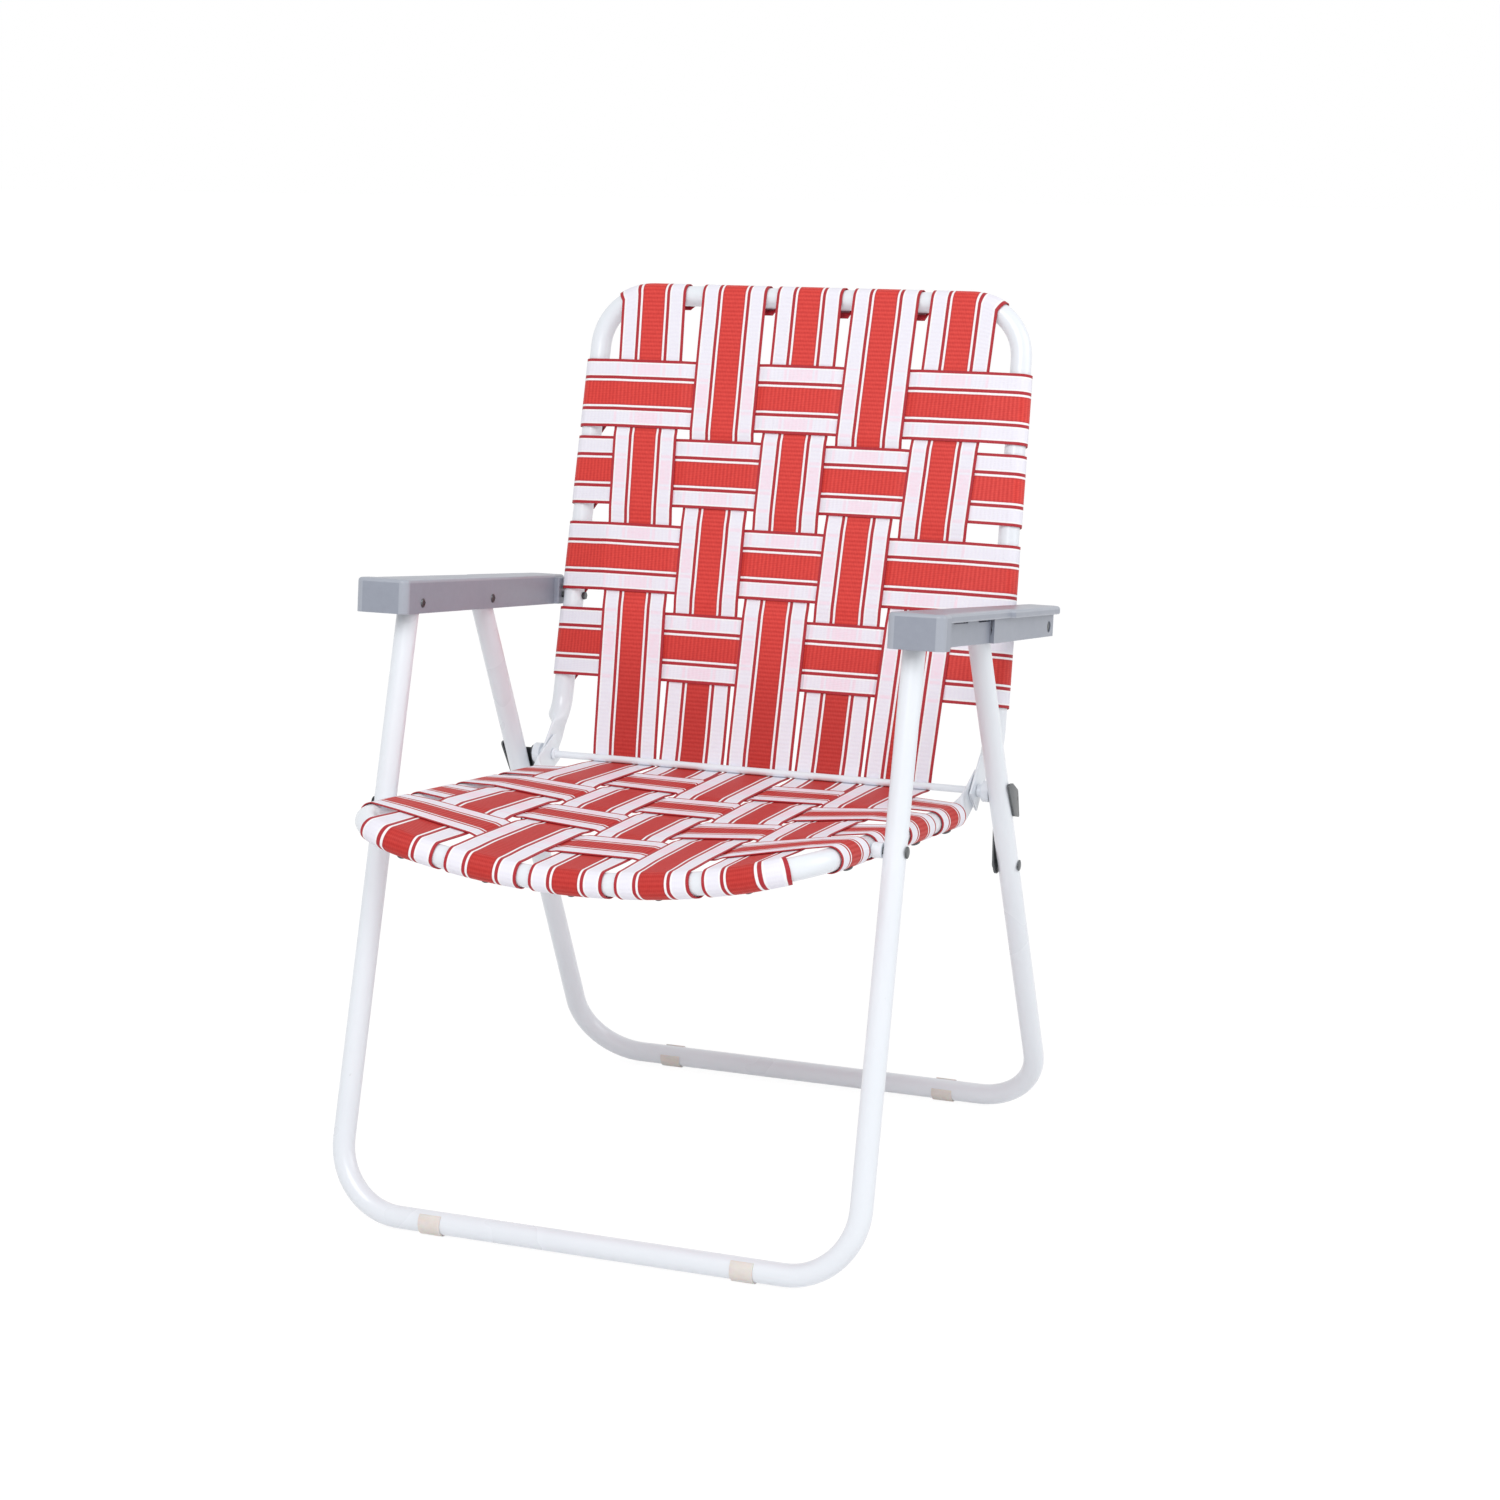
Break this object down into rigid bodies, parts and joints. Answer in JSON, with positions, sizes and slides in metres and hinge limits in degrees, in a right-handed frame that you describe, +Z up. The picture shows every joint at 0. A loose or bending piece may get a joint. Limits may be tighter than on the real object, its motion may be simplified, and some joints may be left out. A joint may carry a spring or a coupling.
{
  "type": "folding lawn chair",
  "caption": "Folding lawn chair with a bent white tube frame, moulded plastic arms and a seat and back of woven striped webbing; it folds flat on its pivots.",
  "frame": {"origin": "on the floor, below the middle of the chair's bounding box", "axes": "+Z up, the seat faces -Y, +X is the right-hand side as seen from the front"},
  "size_m": [0.5292, 0.5566, 0.7677],
  "materials": {
    "white_paint": "gloss white enamel",
    "arm_plastic": "satin blue-grey moulding",
    "zinc": "zinc plated",
    "band_plastic": "translucent beige",
    "webbing": "woven plastic strap, red and white stripes"
  },
  "bodies": {
    "front_legs": {"front_leg_frame": "white_paint", "front_foot_band_left": "band_plastic", "front_foot_band_right": "band_plastic", "seat_pivot_rivet_left": "zinc", "seat_pivot_rivet_right": "zinc", "seat_pivot_spacer_left": "zinc", "seat_pivot_spacer_right": "zinc"},
    "arm_left": {"armrest_left": "arm_plastic", "arm_front_bolt_left": "zinc", "arm_rear_bolt_left": "zinc", "arm_back_bolt_left": "zinc"},
    "arm_right": {"armrest_right": "arm_plastic", "arm_front_bolt_right": "zinc", "arm_rear_bolt_right": "zinc", "arm_back_bolt_right": "zinc"},
    "seat": {"seat_frame": "white_paint", "hinge_rod": "white_paint", "hinge_spacer_left": "white_paint", "hinge_spacer_right": "white_paint", "seat_long_strap_1": "webbing", "seat_long_strap_2": "webbing", "seat_long_strap_3": "webbing", "seat_long_strap_4": "webbing", "seat_long_strap_5": "webbing", "seat_cross_strap_1": "webbing", "seat_cross_strap_2": "webbing", "seat_cross_strap_3": "webbing", "seat_cross_strap_4": "webbing"},
    "back": {"back_frame": "white_paint", "back_bolt_end_left": "zinc", "back_bolt_end_right": "zinc", "back_long_strap_1": "webbing", "back_long_strap_2": "webbing", "back_long_strap_3": "webbing", "back_long_strap_4": "webbing", "back_long_strap_5": "webbing", "back_cross_strap_1": "webbing", "back_cross_strap_2": "webbing", "back_cross_strap_3": "webbing", "back_cross_strap_4": "webbing"},
    "rear_legs": {"rear_leg_frame": "white_paint", "rear_foot_band_left": "band_plastic", "rear_foot_band_right": "band_plastic", "link_rivet_left": "zinc", "link_rivet_right": "zinc"},
    "link_left": {"lock_link_left": "zinc", "link_stud_left": "zinc"},
    "link_right": {"lock_link_right": "zinc", "link_stud_right": "zinc"}
  },
  "joints": [
    {"name": "arm_left_fold", "type": "hinge", "parent": "front_legs", "child": "arm_left", "pos_m": [-0.2298, -0.09973, 0.5118], "axis": [-1, 0, 0], "range_deg": [0, 82.25]},
    {"name": "arm_right_fold", "type": "hinge", "parent": "front_legs", "child": "arm_right", "pos_m": [0.2298, -0.09973, 0.5118], "axis": [-1, 0, 0], "range_deg": [0, 82.35]},
    {"name": "seat_fold", "type": "hinge", "parent": "front_legs", "child": "seat", "pos_m": [0, -0.14709, 0.34458], "axis": [-1, 0, 0], "range_deg": [0, 85.19]},
    {"name": "back_fold", "type": "hinge", "parent": "seat", "child": "back", "pos_m": [0, 0.13247, 0.3365], "axis": [1, 0, 0], "range_deg": [0, 95.17]},
    {"name": "rear_legs_fold", "type": "hinge", "parent": "arm_left", "child": "rear_legs", "pos_m": [0, 0.04559, 0.49488], "axis": [1, 0, 0], "range_deg": [0, 41.13]},
    {"name": "link_left_fold", "type": "hinge", "parent": "rear_legs", "child": "link_left", "pos_m": [-0.2358, 0.14979, 0.26763], "axis": [-1, 0, 0], "range_deg": [0, 121.54]},
    {"name": "link_right_fold", "type": "hinge", "parent": "rear_legs", "child": "link_right", "pos_m": [0.2358, 0.14979, 0.26763], "axis": [-1, 0, 0], "range_deg": [0, 121.54]}
  ],
  "couplings": [
    {"joint": "arm_right_fold", "follows": "arm_left_fold", "ratio": 1},
    {"joint": "seat_fold", "follows": "arm_left_fold", "ratio": 1.0345},
    {"joint": "back_fold", "follows": "arm_left_fold", "ratio": 1.1559},
    {"joint": "rear_legs_fold", "follows": "arm_left_fold", "ratio": 0.49889},
    {"joint": "link_left_fold", "follows": "arm_left_fold", "ratio": 1.4765},
    {"joint": "link_right_fold", "follows": "arm_left_fold", "ratio": 1.4765}
  ]
}
